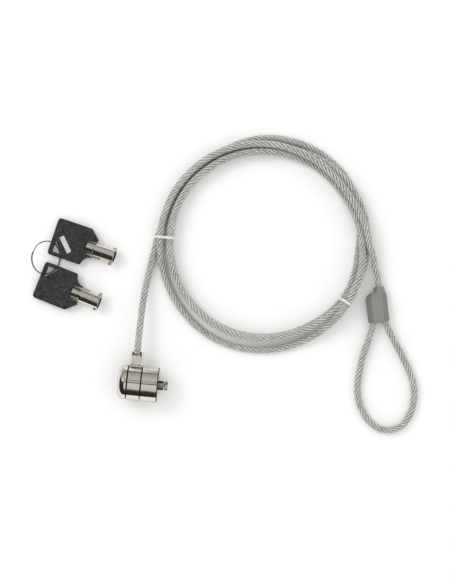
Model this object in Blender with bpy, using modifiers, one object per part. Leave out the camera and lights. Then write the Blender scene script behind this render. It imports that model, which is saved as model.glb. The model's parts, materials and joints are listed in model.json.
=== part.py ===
"""Laptop cable lock: keyed lock head, coated steel cable coil with end loop, and two keys on a ring."""
import math

import bmesh
import bpy
from mathutils import Matrix, Vector

MM = 0.001

# Frame: +X is the lock head's own axis, nose forward; +Z up; z = 0 is the table.
ORIGIN = (-68.596, -16.426)     # layout point under the middle of the lock head and keys, mm

# Lock head, mm. Stations are measured along +X from the middle of the swivel collar.
HEAD_AT = (-46.1, -55.5)
HEAD_R = 9.7
REAR_X = -9.2
CAP_FRONT = -4.0
COLLAR_HALF = 3.7
HOUSING_BACK = 4.0
HOUSING_FRONT = 13.4
CAP_ROUND = 4.0
STEM_R = 6.8
STEM_BACK = -7.8
COLLAR_BORE = 6.88
BLOCK_R = 5.2
BLOCK_BORE = 5.3
KEYWAY_R = 4.2
POST_R = 2.85
SHAFT_R = 2.0
SHAFT_BORE = 2.08
PIN_CIRCLE = 3.65
PIN_R = 0.45
PIN_HOLE_R = 0.52
PIN_COUNT = 7
ROTOR_BACK, ROTOR_FRONT = -4.6, -1.1
BLOCK_BACK, BLOCK_FRONT = -0.9, 5.6
LUG_BASE_R = 4.0
LUG_TOP_R = 3.3
LUG_TOP = 17.6
LUG_FLAT = 3.0
SOCKET_R = 2.55
FERRULE_R = 2.45
NOSE_PIN_R = 0.7
NOSE_PIN_OUT = 3.0
NOSE_PIN_AT = 2.3
T_LENGTH, T_WIDTH, T_THICK = 6.4, 2.6, 2.0
T_BACK = 16.8
T_ROLL = 50.0                  # degrees from +Y about the lock axis
NOSE_PIN_ROLL = T_ROLL - 90.0

# Cable, mm.
CABLE_R = 2.05
JOINT_GAP = 0.3
COIL_AT = (17.7, 27.7)
COIL_IN, COIL_OUT = 50.8, 60.6
COIL_LOW, COIL_HIGH = 0.8, 9.6
TIE_T, TIE_W, TIE_CLEAR = 0.5, 1.4, 0.3
TIE_ANGLES = (180.5, 332.5)

# End fitting: crimp under a moulded cover, mm.
COVER_AT = (85.2, 0.9)
COVER_TURN = -78.0             # degrees, direction from the coil towards the loop
COVER_L, COVER_W, COVER_H = 20.0, 12.0, 7.6
NECK_SIDE, NECK_HALF = 2.1, 3.1
LEG_GAP = 6.9

# Keys, mm. Key axis is local +X from the bow's back edge, window side is local +Z.
KEY_T = 2.0
BOW_W = 21.2
BOW_CORNER = 1.8
RING_AT = (-102.36, 9.57, 6.31)
RING_R = 9.3
RING_WIRE = 0.19
RING_STEP = 0.42
RING_TILT = 39.25
RING_AXIS_TURN = -6.16
KEYS = (
    # name, bow back edge middle (x, y, z), heading, pitch and roll in degrees, flipped
    ("key_1", (-99.74, 22.28, 2.19), -13.33, 3.99, 0.12, False),
    ("key_2", (-105.28, -2.79, 2.56), -16.15, 3.09, 1.24, True),
)

SEG = 36


def purge():
    for ob in list(bpy.data.objects):
        bpy.data.objects.remove(ob, do_unlink=True)


def collection(name):
    col = bpy.data.collections.new(name)
    bpy.context.scene.collection.children.link(col)
    return col


def material(name, rgb, metallic, rough):
    mat = bpy.data.materials.new(name)
    mat.use_nodes = True
    bsdf = mat.node_tree.nodes["Principled BSDF"]
    bsdf.inputs["Base Color"].default_value = (*rgb, 1.0)
    bsdf.inputs["Metallic"].default_value = metallic
    bsdf.inputs["Roughness"].default_value = rough
    mat.diffuse_color = (*rgb, 1.0)
    return mat


def add(name, bm, mat, col, smooth=True):
    bmesh.ops.remove_doubles(bm, verts=bm.verts, dist=1e-7)
    bmesh.ops.dissolve_degenerate(bm, edges=bm.edges, dist=1e-8)
    bmesh.ops.recalc_face_normals(bm, faces=bm.faces)
    me = bpy.data.meshes.new(name)
    bm.to_mesh(me)
    bm.free()
    me.polygons.foreach_set("use_smooth", [smooth] * len(me.polygons))
    ob = bpy.data.objects.new(name, me)
    if mat:
        me.materials.append(mat)
    col.objects.link(ob)
    return ob


def evaluated(ob):
    """Take an object's evaluated shape as a bmesh and remove the object."""
    bpy.context.view_layer.update()
    me = bpy.data.meshes.new_from_object(ob.evaluated_get(bpy.context.evaluated_depsgraph_get()))
    bm = bmesh.new()
    bm.from_mesh(me)
    bpy.data.meshes.remove(me)
    bpy.data.objects.remove(ob, do_unlink=True)
    bmesh.ops.remove_doubles(bm, verts=bm.verts, dist=1e-6)
    return bm


def turned(profile, steps=SEG):
    """(station, radius) outline turned about +X; it closes on itself unless both ends are on the axis."""
    count = len(profile)
    edges = [(i, i + 1) for i in range(count - 1)]
    if profile[0][1] or profile[-1][1]:
        edges.append((count - 1, 0))
    me = bpy.data.meshes.new("profile")
    me.from_pydata([(x * MM, r * MM, 0.0) for x, r in profile], edges, [])
    ob = bpy.data.objects.new("profile", me)
    CUTTERS.objects.link(ob)
    screw = ob.modifiers.new("turn", "SCREW")
    screw.axis = "X"
    screw.angle = math.tau
    screw.steps = screw.render_steps = steps
    screw.use_merge_vertices = True
    screw.merge_threshold = 1e-6
    return evaluated(ob)


def rod(x0, x1, r, steps=SEG):
    return turned([(x0, 0.0), (x0, r), (x1, r), (x1, 0.0)], steps)


def pipe(x0, x1, r_in, r_out, steps=SEG):
    return turned([(x0, r_in), (x0, r_out), (x1, r_out), (x1, r_in)], steps)


def moved(bm, offset, turn=None):
    mat = Matrix.Translation(Vector(offset) * MM)
    if turn:
        mat = mat @ Matrix.Rotation(math.radians(turn[1]), 4, turn[0])
    bmesh.ops.transform(bm, matrix=mat, verts=bm.verts)
    return bm


def joined(parts):
    out = bmesh.new()
    for bm in parts:
        me = bpy.data.meshes.new("joined")
        bm.to_mesh(me)
        out.from_mesh(me)
        bpy.data.meshes.remove(me)
        bm.free()
    return out


def block(size, centre=(0, 0, 0)):
    bm = bmesh.new()
    bmesh.ops.create_cube(bm, size=1.0)
    bmesh.ops.scale(bm, vec=Vector(size) * MM, verts=bm.verts)
    bmesh.ops.translate(bm, vec=Vector(centre) * MM, verts=bm.verts)
    return bm


def prism(outline, z0, z1, hole=None):
    """Flat outline in XY raised between two heights."""
    cu = bpy.data.curves.new("outline", "CURVE")
    cu.dimensions = "2D"
    cu.fill_mode = "BOTH"
    cu.extrude = (z1 - z0) / 2 * MM
    for points in (outline, hole):
        if points:
            sp = cu.splines.new("POLY")
            sp.points.add(len(points) - 1)
            for p, (x, y) in zip(sp.points, points):
                p.co = (x * MM, y * MM, 0.0, 1.0)
            sp.use_cyclic_u = True
    ob = bpy.data.objects.new("outline", cu)
    CUTTERS.objects.link(ob)
    bm = evaluated(ob)
    bmesh.ops.translate(bm, vec=(0, 0, (z0 + z1) / 2 * MM), verts=bm.verts)
    return bm


def boolean(ob, cutter, operation="DIFFERENCE"):
    mod = ob.modifiers.new(operation.lower() + "_" + cutter.name, "BOOLEAN")
    mod.operation = operation
    mod.solver = "EXACT"
    mod.object = cutter


def cutter(name, bm, parent=None):
    ob = add(name, bm, None, CUTTERS, False)
    ob.hide_render = True
    ob.display_type = "WIRE"
    if parent:
        ob.parent = parent
    return ob


def bevel(ob, width, segments=2, angle=35.0):
    mod = ob.modifiers.new("edge_round", "BEVEL")
    mod.width = width * MM
    mod.segments = segments
    mod.limit_method = "ANGLE"
    mod.angle_limit = math.radians(angle)


def empty(name, at, parent=None):
    ob = bpy.data.objects.new(name, None)
    ob.location = Vector(at) * MM
    ob.empty_display_size = 0.005
    if parent:
        ob.parent = parent
    PART.objects.link(ob)
    return ob


def place(x, y, z):
    return (x - ORIGIN[0], y - ORIGIN[1], z)


def smooth_route(points, spacing):
    """Even points along a Catmull-Rom curve through the given ones."""
    pts = [Vector(p) for p in points]
    ext = [2 * pts[0] - pts[1]] + pts + [2 * pts[-1] - pts[-2]]
    fine = []
    for i in range(1, len(ext) - 2):
        p0, p1, p2, p3 = ext[i - 1:i + 3]
        for k in range(40):
            t = k / 40
            fine.append(0.5 * ((2 * p1) + (p2 - p0) * t + (2 * p0 - 5 * p1 + 4 * p2 - p3) * t * t
                               + (3 * p1 - p0 - 3 * p2 + p3) * t ** 3))
    fine.append(pts[-1])
    length = sum((b - a).length for a, b in zip(fine, fine[1:]))
    count = max(2, round(length / spacing))
    out, run, k = [fine[0]], 0.0, 1
    for a, b in zip(fine, fine[1:]):
        seg = (b - a).length
        while k < count and run + seg >= k * length / count:
            out.append(a.lerp(b, (k * length / count - run) / seg))
            k += 1
        run += seg
    out.append(fine[-1])
    return out


def wire(name, points, radius, mat, col, resolution=2, closed=False):
    cu = bpy.data.curves.new(name, "CURVE")
    cu.dimensions = "3D"
    cu.bevel_depth = radius * MM
    cu.bevel_resolution = resolution
    cu.use_fill_caps = not closed
    sp = cu.splines.new("POLY")
    sp.points.add(len(points) - 1)
    for p, q in zip(sp.points, points):
        p.co = (*(Vector(place(*q)) * MM), 1.0)
    sp.use_cyclic_u = closed
    ob = bpy.data.objects.new(name + "_path", cu)
    CUTTERS.objects.link(ob)
    return add(name, evaluated(ob), mat, col)


def around(bm_maker, count, radius, phase=0.0):
    """Copies of a shape set round the lock axis."""
    parts = []
    for i in range(count):
        a = math.radians(phase) + math.tau * i / count
        bm = bm_maker()
        bmesh.ops.translate(bm, vec=(0, radius * math.cos(a) * MM, radius * math.sin(a) * MM),
                            verts=bm.verts)
        parts.append(bm)
    return joined(parts)


purge()
PART = collection("laptop_cable_lock")
CUTTERS = collection("cutters")

NICKEL = {n: material(n, (0.72, 0.70, 0.66), 1.0, 0.18) for n in (
    "nickel_front_housing", "nickel_rear_cap", "nickel_swivel_collar")}
STEEL = {n: material(n, (0.62, 0.62, 0.62), 1.0, 0.3) for n in (
    "steel_ferrule", "steel_spindle", "steel_t_bar", "steel_slot_pin_1", "steel_slot_pin_2",
    "steel_cross_pin", "steel_key_ring")}
BRASS = {"brass_pin_block": material("brass_pin_block", (0.74, 0.6, 0.3), 1.0, 0.3)}
WIRE_ROPE = {n: material(n, (0.55, 0.55, 0.54), 0.6, 0.25) for n in (
    "rope_lead", "rope_coil", "rope_tail", "rope_loop")}
CRIMP = material("aluminium_crimp", (0.7, 0.7, 0.7), 1.0, 0.35)
VINYL = material("grey_vinyl_cover", (0.24, 0.24, 0.23), 0.0, 0.35)
TIE = {n: material(n, (0.85, 0.85, 0.83), 0.0, 0.4) for n in ("clear_tie_left", "clear_tie_right")}

# ---------------------------------------------------------------- lock head
head = empty("lock_axis", place(*HEAD_AT, HEAD_R))
plug_axis = empty("plug_axis", (0, 0, 0), head)
housing_axis = empty("housing_axis", (0, 0, 0), head)


def on_head(ob, parent=None):
    ob.parent = parent or head
    return ob


# Front housing: nose barrel plus the hollow stem the collar turns on.
front_housing = on_head(add("front_housing", turned([
    (STEM_BACK, BLOCK_BORE), (STEM_BACK, STEM_R), (HOUSING_BACK, STEM_R), (HOUSING_BACK, HEAD_R - 0.3),
    (HOUSING_BACK + 0.3, HEAD_R), (HOUSING_FRONT - 0.6, HEAD_R), (HOUSING_FRONT, HEAD_R - 0.6),
    (HOUSING_FRONT, SHAFT_BORE), (BLOCK_FRONT + 0.3, SHAFT_BORE), (BLOCK_FRONT + 0.3, BLOCK_BORE),
]), NICKEL["nickel_front_housing"], PART), housing_axis)

# Rear cap: domed end with the round keyway mouth.
dome = []
for k in range(9):
    a = math.pi / 2 * k / 8
    dome.append((REAR_X + CAP_ROUND - CAP_ROUND * math.cos(a), HEAD_R - CAP_ROUND + CAP_ROUND * math.sin(a)))
rear_cap = on_head(add("rear_cap", turned(
    [(REAR_X, KEYWAY_R)] + dome + [(CAP_FRONT - 0.3, HEAD_R), (CAP_FRONT, HEAD_R - 0.3),
                                   (CAP_FRONT, STEM_R + 0.1), (STEM_BACK - 0.25, STEM_R + 0.1),
                                   (STEM_BACK - 0.25, KEYWAY_R)]),
    NICKEL["nickel_rear_cap"], PART), housing_axis)

# Swivel collar: ring and its tapered cable boss in one casting, flats milled on two sides.
swivel_collar = on_head(add("swivel_collar", turned([
    (-COLLAR_HALF, COLLAR_BORE), (-COLLAR_HALF, HEAD_R - 0.3), (-COLLAR_HALF + 0.3, HEAD_R),
    (COLLAR_HALF - 0.3, HEAD_R), (COLLAR_HALF, HEAD_R - 0.3), (COLLAR_HALF, COLLAR_BORE),
]), NICKEL["nickel_swivel_collar"], PART))
boss = cutter("collar_boss", moved(turned([
    (7.4, 0.0), (7.4, LUG_BASE_R - 0.35), (9.2, LUG_BASE_R - 0.35), (LUG_TOP - 1.2, LUG_TOP_R + 0.1),
    (LUG_TOP - 0.35, LUG_TOP_R - 0.15), (LUG_TOP, LUG_TOP_R - 0.5), (LUG_TOP, 0.0),
], 28), (0, 0, 0), ("Z", 90)), head)
boolean(swivel_collar, boss, "UNION")
for side in (-1, 1):
    flat = cutter("boss_flat_%d" % (side + 1), block(
        (16, LUG_TOP - 9.35 + 2, 4), (0, (LUG_TOP + 2 + 9.35) / 2, side * (LUG_FLAT + 2))), head)
    boolean(swivel_collar, flat)
boolean(swivel_collar, cutter("boss_socket", moved(rod(9.0, LUG_TOP + 2, SOCKET_R, 28), (0, 0, 0),
                                                   ("Z", 90)), head))

cable_end_ferrule = on_head(add("cable_end_ferrule", moved(turned([
    (9.2, 0.0), (9.2, FERRULE_R - 0.3), (9.5, FERRULE_R), (LUG_TOP - 0.5, FERRULE_R),
    (LUG_TOP - 0.2, FERRULE_R - 0.25), (LUG_TOP - 0.2, 0.0)], 28), (0, 0, 0), ("Z", 90)),
    STEEL["steel_ferrule"], PART))

# Spindle: centre post in the keyway, pin disc, and the shaft the T-bar screws on to.
spindle = on_head(add("spindle", turned([
    (REAR_X + 0.5, 0.0), (REAR_X + 0.5, POST_R - 0.4), (REAR_X + 0.9, POST_R), (ROTOR_BACK, POST_R),
    (ROTOR_BACK, BLOCK_R), (ROTOR_FRONT, BLOCK_R), (ROTOR_FRONT, SHAFT_R), (6.6, SHAFT_R), (6.6, 0.0),
]), STEEL["steel_spindle"], PART), plug_axis)
boolean(spindle, cutter("spindle_pin_holes", around(
    lambda: rod(ROTOR_BACK - 1, ROTOR_FRONT + 1, PIN_HOLE_R, 12), PIN_COUNT, PIN_CIRCLE, 90.0), head))

pin_block = on_head(add("pin_block", pipe(BLOCK_BACK, BLOCK_FRONT, SHAFT_BORE, BLOCK_R),
                        BRASS["brass_pin_block"], PART), housing_axis)
boolean(pin_block, cutter("block_pin_holes", around(
    lambda: rod(BLOCK_BACK - 1, BLOCK_FRONT - 0.5, PIN_HOLE_R, 12), PIN_COUNT, PIN_CIRCLE, 90.0), head))


def spring_points():
    pts = []
    turns, per = 3, 7
    for i in range(turns * per + 1):
        a = math.tau * i / per
        pts.append((1.8 + 3.1 * i / (turns * per) + ORIGIN[0], 0.3 * math.cos(a) + ORIGIN[1],
                    0.3 * math.sin(a)))
    return pts


# Seven tumbler stacks: key pin in the rotor, driver pin and spring in the block.
for i in range(PIN_COUNT):
    a = math.radians(90.0) + math.tau * i / PIN_COUNT
    spot = Vector((0, PIN_CIRCLE * math.cos(a), PIN_CIRCLE * math.sin(a))) * MM
    tag = "_%d" % (i + 1)
    key_pin = on_head(add("key_pin" + tag, rod(ROTOR_BACK - 0.25, ROTOR_FRONT - 0.05, PIN_R, 10),
                          material("brass_key_pin" + tag, (0.74, 0.6, 0.3), 1.0, 0.3), PART), plug_axis)
    driver = on_head(add("driver_pin" + tag, rod(BLOCK_BACK + 0.05, 1.6, PIN_R, 10),
                         material("steel_driver_pin" + tag, (0.6, 0.6, 0.6), 1.0, 0.3), PART),
                     housing_axis)
    coil = on_head(wire("pin_spring" + tag, spring_points(), 0.09,
                        material("steel_spring" + tag, (0.6, 0.6, 0.6), 1.0, 0.3), PART, 1),
                   housing_axis)
    for ob in (key_pin, driver, coil):
        ob.location = spot

# Cross pin that holds the pin block in the stem, clear of the tumblers.
CROSS_ROLL = 90.0 + 180.0 / PIN_COUNT
cross_hole = cutter("cross_pin_hole", moved(rod(2.6, 8.4, 0.68, 14), (2.2, 0, 0), ("Z", 90)), head)
cross_hole.rotation_euler = (math.radians(CROSS_ROLL - 90.0), 0, 0)
boolean(front_housing, cross_hole)
boolean(pin_block, cross_hole)
block_cross_pin = on_head(add("block_cross_pin", moved(rod(2.9, 6.6, 0.6, 14), (2.2, 0, 0), ("Z", 90)),
                              STEEL["steel_cross_pin"], PART), housing_axis)
block_cross_pin.rotation_euler = (math.radians(CROSS_ROLL - 90.0), 0, 0)

# Nose: two fixed pins that fill the ends of a security slot, and the T-bar that turns behind it.
for n, side in enumerate((-1, 1)):
    pin = on_head(add("slot_pin_%d" % (n + 1), moved(
        rod(HOUSING_FRONT - 2.6, HOUSING_FRONT + NOSE_PIN_OUT, NOSE_PIN_R, 14), (0, side * NOSE_PIN_AT, 0)),
        STEEL["steel_slot_pin_%d" % (n + 1)], PART), housing_axis)
    pin.rotation_euler = (math.radians(NOSE_PIN_ROLL), 0, 0)
    bevel(pin, 0.15, 1)
holes = []
for side in (-1, 1):
    holes.append(moved(rod(HOUSING_FRONT - 2.9, HOUSING_FRONT + 1, NOSE_PIN_R + 0.1, 14),
                       (0, side * NOSE_PIN_AT, 0)))
nose_holes = cutter("slot_pin_holes", joined(holes), head)
nose_holes.rotation_euler = (math.radians(NOSE_PIN_ROLL), 0, 0)
boolean(front_housing, nose_holes)

t_bar = on_head(add("t_bar", turned([
    (7.0, 0.0), (7.0, SHAFT_R), (9.4, SHAFT_R), (9.4, 1.25), (T_BACK + 0.4, 1.25), (T_BACK + 0.4, 0.0),
], 28), STEEL["steel_t_bar"], PART), plug_axis)
t_head = cutter("t_head", block((T_THICK, T_LENGTH, T_WIDTH), (T_BACK + T_THICK / 2, 0, 0)), head)
t_head.rotation_euler = (math.radians(T_ROLL), 0, 0)
bevel(t_head, 0.35, 2)
boolean(t_bar, t_head, "UNION")

# ---------------------------------------------------------------- cable
LEAD = [
    (HEAD_AT[0], HEAD_AT[1] + LUG_TOP + JOINT_GAP, HEAD_R),
    (HEAD_AT[0], HEAD_AT[1] + LUG_TOP + 6.5, HEAD_R),
    (-46.0, -21.3, 8.6),
    (-45.8, -11.0, 6.6),
    (-45.2, -2.3, 4.6),
    (-44.4, 4.6, 3.2),
    (-43.9, 9.0, 2.5),
]
cable_lead = wire("cable_lead", smooth_route(LEAD, 5.0), CABLE_R, WIRE_ROPE["rope_lead"], PART, 3)

section = []
for k in range(12):
    a = math.tau * k / 12
    cu = math.copysign(abs(math.cos(a)) ** 0.7, math.cos(a))
    cv = math.copysign(abs(math.sin(a)) ** 0.7, math.sin(a))
    section.append(((COIL_LOW + COIL_HIGH) / 2 + cv * (COIL_HIGH - COIL_LOW) / 2,
                    (COIL_IN + COIL_OUT) / 2 + cu * (COIL_OUT - COIL_IN) / 2))
cable_coil = add("cable_coil", moved(turned(section, 60), (0, 0, 0), ("Y", -90)),
                 WIRE_ROPE["rope_coil"], PART)
cable_coil.location = Vector(place(*COIL_AT, 0)) * MM

cover_turn = math.radians(COVER_TURN)
along = Vector((math.cos(cover_turn), math.sin(cover_turn), 0))
across = Vector((-along.y, along.x, 0))
cover_mid = Vector((*COVER_AT, COVER_H / 2))


def by_cover(a, s, z=None):
    p = cover_mid + along * a + across * s
    return (p.x, p.y, cover_mid.z if z is None else z)


TAIL = [
    (81.0, 26.0, 5.2),
    (82.0, 21.0, 4.6),
    by_cover(-COVER_L / 2 - 7.0, NECK_SIDE),
    by_cover(-COVER_L / 2 - JOINT_GAP, NECK_SIDE),
]
cable_tail = wire("cable_tail", smooth_route(TAIL, 5.0), CABLE_R, WIRE_ROPE["rope_tail"], PART, 3)

LOOP = [
    by_cover(COVER_L / 2 + JOINT_GAP, -LEG_GAP / 2),
    by_cover(COVER_L / 2 + 3.6, -LEG_GAP / 2),
    (82.6, -18.6, 3.4), (80.4, -27.9, 2.8), (79.2, -37.0, 2.3), (78.9, -45.2, 2.2), (79.9, -52.3, 2.2),
    (82.8, -59.2, 2.2), (87.4, -64.9, 2.2), (92.9, -68.2, 2.2), (97.7, -68.8, 2.2), (102.8, -67.6, 2.2),
    (107.0, -64.2, 2.2), (109.9, -58.4, 2.2), (111.2, -52.0, 2.2), (111.0, -45.7, 2.2),
    (109.4, -39.5, 2.2), (106.2, -33.0, 2.3), (102.1, -26.2, 2.8), (97.5, -19.4, 3.4),
    by_cover(COVER_L / 2 + 3.6, LEG_GAP / 2),
    by_cover(COVER_L / 2 + JOINT_GAP, LEG_GAP / 2),
]
cable_loop = wire("cable_loop", smooth_route(LOOP, 4.4), CABLE_R, WIRE_ROPE["rope_loop"], PART, 3)

# Moulded cover over the crimp.
fitting = empty("cable_fitting", place(*cover_mid))
fitting.rotation_euler = (0, 0, cover_turn)
half_l, half_w = COVER_L / 2, COVER_W / 2
cover_outline = [(-half_l, NECK_SIDE - NECK_HALF), (-half_l, NECK_SIDE + NECK_HALF),
                 (-half_l + 4.4, half_w - 0.15), (-half_l + 5.2, half_w), (half_l - 0.5, half_w),
                 (half_l, half_w - 0.6), (half_l, -half_w + 0.6), (half_l - 0.5, -half_w),
                 (-half_l + 6.2, -half_w), (-half_l + 5.0, -half_w + 0.4),
                 (-half_l + 4.2, -half_w + 1.6), (-half_l + 3.4, -half_w + 4.4),
                 (-half_l + 2.6, NECK_SIDE - NECK_HALF)]
crimp_cover = add("crimp_cover", prism(cover_outline, -COVER_H / 2, COVER_H / 2), VINYL, PART, False)
crimp_cover.parent = fitting
bevel(crimp_cover, 1.7, 3, 50)
CRIMP_L, CRIMP_W, CRIMP_H = 12.0, 9.8, 5.4


def oval(length, width, height, centre=0.0):
    pts = []
    for side in (1, -1):
        for k in range(9):
            a = math.pi * k / 8 - math.pi / 2
            pts.append((side * ((width - height) / 2 + height / 2 * math.cos(a)),
                        side * height / 2 * math.sin(a)))
    bm = prism(pts, centre - length / 2, centre + length / 2)
    turn = Matrix(((0, 0, 1, 0), (1, 0, 0, 0), (0, 1, 0, 0), (0, 0, 0, 1)))
    bmesh.ops.transform(bm, matrix=turn, verts=bm.verts)
    return bm


CRIMP_SHIFT = 2.2
boolean(crimp_cover, cutter("crimp_pocket", oval(CRIMP_L + 0.6, CRIMP_W + 0.5, CRIMP_H + 0.5,
                                                 CRIMP_SHIFT), fitting))
crimp_sleeve = add("crimp_sleeve", oval(CRIMP_L, CRIMP_W, CRIMP_H, CRIMP_SHIFT), CRIMP, PART, False)
crimp_sleeve.parent = fitting
STUBS = ((-half_l, -2.0, NECK_SIDE), (3.0, half_l, -LEG_GAP / 2), (3.0, half_l, LEG_GAP / 2))
for n, (a0, a1, side) in enumerate(STUBS):
    stub = cutter("crimp_stub_%d" % n, moved(rod(a0, a1, CABLE_R, 20), (0, side, 0)), fitting)
    boolean(crimp_sleeve, stub, "UNION")
    out0, out1 = (a0 - 1, a1) if a0 < -4 else (a0, a1 + 1)
    hole = cutter("cover_mouth_%d" % n, moved(rod(out0, out1, CABLE_R + 0.25, 20), (0, side, 0)), fitting)
    boolean(crimp_cover, hole)

# Clear ties round the coil.
def rounded_box(half_x, half_z, radius):
    pts = []
    for qx, qz, start in ((1, 1, 0), (-1, 1, 90), (-1, -1, 180), (1, -1, 270)):
        for k in range(5):
            a = math.radians(start + 22.5 * k)
            pts.append((qx * (half_x - radius) + radius * math.cos(a),
                        qz * (half_z - radius) + radius * math.sin(a)))
    return pts


tie_x = (COIL_OUT - COIL_IN) / 2 + TIE_CLEAR
tie_z = (COIL_HIGH - COIL_LOW) / 2 + TIE_CLEAR
for label, degrees in zip(("left", "right"), TIE_ANGLES):
    band = prism(rounded_box(tie_x + TIE_T, tie_z + TIE_T, 2.0 + TIE_T), -TIE_W / 2, TIE_W / 2,
                 rounded_box(tie_x, tie_z, 2.0))
    moved(band, ((COIL_IN + COIL_OUT) / 2, 0, (COIL_LOW + COIL_HIGH) / 2), ("X", 90))
    tie = add("tie_" + label, band, TIE["clear_tie_" + label], PART)
    tie.location = Vector(place(*COIL_AT, 0)) * MM
    tie.rotation_euler = (0, 0, math.radians(degrees))

# ---------------------------------------------------------------- keys and ring
ring_centre = empty("ring_centre", place(*RING_AT))
ring_centre.rotation_mode = "QUATERNION"
ring_turn = (Matrix.Rotation(math.radians(RING_AXIS_TURN), 4, "Z")
             @ Matrix.Rotation(math.radians(RING_TILT), 4, "Y"))
ring_centre.rotation_quaternion = ring_turn.to_quaternion()
pts = []
for i in range(58):
    turned_by = 18.0 + 12.0 * i
    step = min(1.0, max(-1.0, (turned_by - 360.0) / 15.0))
    a = math.radians(turned_by + 150.0)
    pts.append((RING_R * math.cos(a) + ORIGIN[0], RING_R * math.sin(a) + ORIGIN[1],
                RING_STEP / 2 * step))
key_ring = wire("key_ring", pts, RING_WIRE, STEEL["steel_key_ring"], PART, 2)
key_ring.parent = ring_centre

BLACK = {}
for name, *_ in KEYS:
    BLACK[name] = (material("black_plastic_" + name, (0.035, 0.035, 0.036), 0.0, 0.5),
                   material("nickel_barrel_" + name, (0.7, 0.68, 0.64), 1.0, 0.2),
                   material("nickel_tang_" + name, (0.75, 0.74, 0.72), 1.0, 0.35))


def bow_outline():
    w = BOW_W / 2
    pts = []
    for k in range(5):
        a = math.radians(180 - 90 * k / 4)
        pts.append((BOW_CORNER + BOW_CORNER * math.cos(a), w - BOW_CORNER + BOW_CORNER * math.sin(a)))
    pts += [(19.0, w), (19.6, w - 0.25), (24.3, 6.2), (24.4, 5.6), (23.9, 4.2)]
    pts += [(23.0, 3.75), (19.9, 3.75)]
    for k in range(1, 6):
        a = math.radians(90 + 180 * k / 6)
        pts.append((19.9 + 1.4 * math.cos(a), 3.75 * math.sin(a)))
    pts += [(19.9, -3.75), (24.2, -4.35), (24.4, -4.9)]
    for k in range(1, 7):
        a = math.radians(90 + 80 * k / 6)
        pts.append((24.6 + 5.6 * math.cos(a), -10.6 + 5.6 * math.sin(a)))
    pts += [(18.6, -w + 0.25), (18.0, -w)]
    for k in range(5):
        a = math.radians(270 - 90 * k / 4)
        pts.append((BOW_CORNER + BOW_CORNER * math.cos(a), -w + BOW_CORNER + BOW_CORNER * math.sin(a)))
    return pts


def build_key(name, at, heading, pitch_deg, roll_deg, flipped):
    black, nickel, tang_mat = BLACK[name]
    seat = empty(name + "_seat", place(*at))
    seat.rotation_mode = "QUATERNION"
    turn = (Matrix.Rotation(math.radians(heading), 4, "Z")
            @ Matrix.Rotation(math.radians(-pitch_deg), 4, "Y")
            @ Matrix.Rotation(math.radians(roll_deg + (180.0 if flipped else 0.0)), 4, "X"))
    seat.rotation_quaternion = turn.to_quaternion()
    half = KEY_T / 2

    bow = add(name + "_bow", prism(bow_outline(), -half, half), black, PART, False)
    bow.parent = seat
    bevel(bow, 0.3, 2, 60)
    hole = cutter(name + "_ring_hole", prism(
        [(2.1, -8.6), (8.0, -8.6), (2.1, -1.9)], -half - 1, half + 1), seat)
    window = cutter(name + "_window", moved(block((10.4, 3.0, 2.0)), (8.0, -2.6, half + 0.6),
                                            ("Z", -46)), seat)
    slot = cutter(name + "_tang_slot", block((13.0, 8.4, 0.9), (7.4 + 6.5, 0.0, 0.0)), seat)
    for tool in (hole, window, slot):
        boolean(bow, tool)

    barrel = add(name + "_barrel", turned([
        (19.3, 0.0), (19.3, 3.0), (23.7, 3.0), (23.9, 3.55), (24.2, 3.85), (36.0, 3.85), (36.2, 3.7),
        (36.2, 3.15), (27.5, 3.15), (27.5, 0.0)]), nickel, PART)
    barrel.parent = seat
    nibs = joined([block((2.0, 2.4, 1.6), (35.1, -4.4, 0)), block((2.0, 1.5, 1.3), (35.1, 4.0, 0)),
                   block((5.2, 1.6, 1.3), (27.0, -4.2, 0))])
    nib = cutter(name + "_nibs", nibs, seat)
    bevel(nib, 0.2, 1)
    boolean(barrel, nib, "UNION")

    tang = add(name + "_tang", block((11.4, 8.0, 0.6), (7.6 + 5.7, 0.0, 0.0)), tang_mat, PART, False)
    tang.parent = seat
    return seat


for spec in KEYS:
    build_key(*spec)
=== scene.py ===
"""Looks for the laptop cable lock: lock head, coated cable with loop cover and ties, two keys on a ring."""
import json
import math

import bmesh
import bpy
import numpy as np
from mathutils import Matrix, Vector


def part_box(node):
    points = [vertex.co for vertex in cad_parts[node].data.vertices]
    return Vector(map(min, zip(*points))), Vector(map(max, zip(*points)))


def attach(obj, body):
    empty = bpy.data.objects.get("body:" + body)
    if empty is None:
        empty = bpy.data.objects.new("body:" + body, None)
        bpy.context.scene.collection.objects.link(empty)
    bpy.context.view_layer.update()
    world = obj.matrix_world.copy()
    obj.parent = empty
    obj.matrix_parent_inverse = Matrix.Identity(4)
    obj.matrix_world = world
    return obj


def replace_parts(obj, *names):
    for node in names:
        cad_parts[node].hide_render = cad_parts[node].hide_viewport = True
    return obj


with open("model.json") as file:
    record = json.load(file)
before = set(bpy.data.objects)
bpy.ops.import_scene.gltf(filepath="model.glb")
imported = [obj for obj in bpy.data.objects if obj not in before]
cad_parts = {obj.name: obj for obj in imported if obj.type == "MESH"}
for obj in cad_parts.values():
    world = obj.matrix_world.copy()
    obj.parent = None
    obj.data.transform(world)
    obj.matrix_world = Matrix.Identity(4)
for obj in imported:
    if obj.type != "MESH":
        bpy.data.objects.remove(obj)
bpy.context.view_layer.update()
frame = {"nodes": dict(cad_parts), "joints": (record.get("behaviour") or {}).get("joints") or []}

MM = 0.001
ORIGIN = (-68.596, -16.426)     # layout point at the row frame's origin, as in part.py, mm
VIEW_ROLL = 5.5                 # the photograph is turned this far round from the lock's axis, degrees
CAMERA_HEIGHT = 900.0
VIEW_TALL = 330.0               # how much of the table the picture's long side takes in, mm


def place(x, y, z):
    """A layout point of part.py in the row frame, mm."""
    return Vector((x - ORIGIN[0], y - ORIGIN[1], z))


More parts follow.
